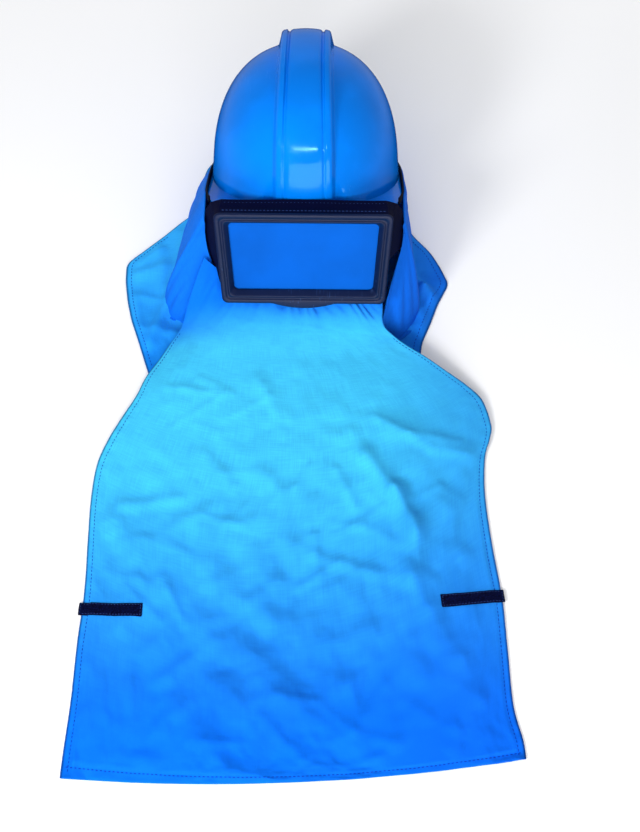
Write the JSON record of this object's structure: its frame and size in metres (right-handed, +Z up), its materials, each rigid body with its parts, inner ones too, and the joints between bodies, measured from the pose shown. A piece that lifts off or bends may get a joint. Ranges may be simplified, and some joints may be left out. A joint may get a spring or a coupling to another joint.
{
  "type": "sandblasting hood",
  "caption": "Hard shell with a moulded ridge, a framed window at its brow and a cloth cape with a long front bib, set down with the cloth spread flat.",
  "frame": {"origin": "point of the back cape's flat underside below the bib, on the surface the hood rests on", "axes": "+Z up, -Y towards the bib's hem, +X to the right for someone who looks at the window"},
  "size_m": [0.4572, 0.8374, 0.2456],
  "materials": {
    "shell": "glossy blue moulding",
    "edging": "matte black edging",
    "flange": "black stitched strip",
    "window_frame": "satin black moulding",
    "pane": "pane under a blue film",
    "skirt_cloth": "blue woven cloth",
    "bib_cloth": "blue woven cloth",
    "cape_cloth": "blue woven cloth",
    "hook_strip": "dark hook-and-loop strip"
  },
  "bodies": {
    "root": {"helmet_shell": "shell", "rim_band": "edging", "visor_flange": "flange", "visor_frame": "window_frame", "visor_lens": "pane", "neck_skirt": "skirt_cloth", "front_bib": "bib_cloth", "back_cape": "cape_cloth", "strap_left": "hook_strip", "strap_right": "hook_strip"}
  },
  "joints": []
}
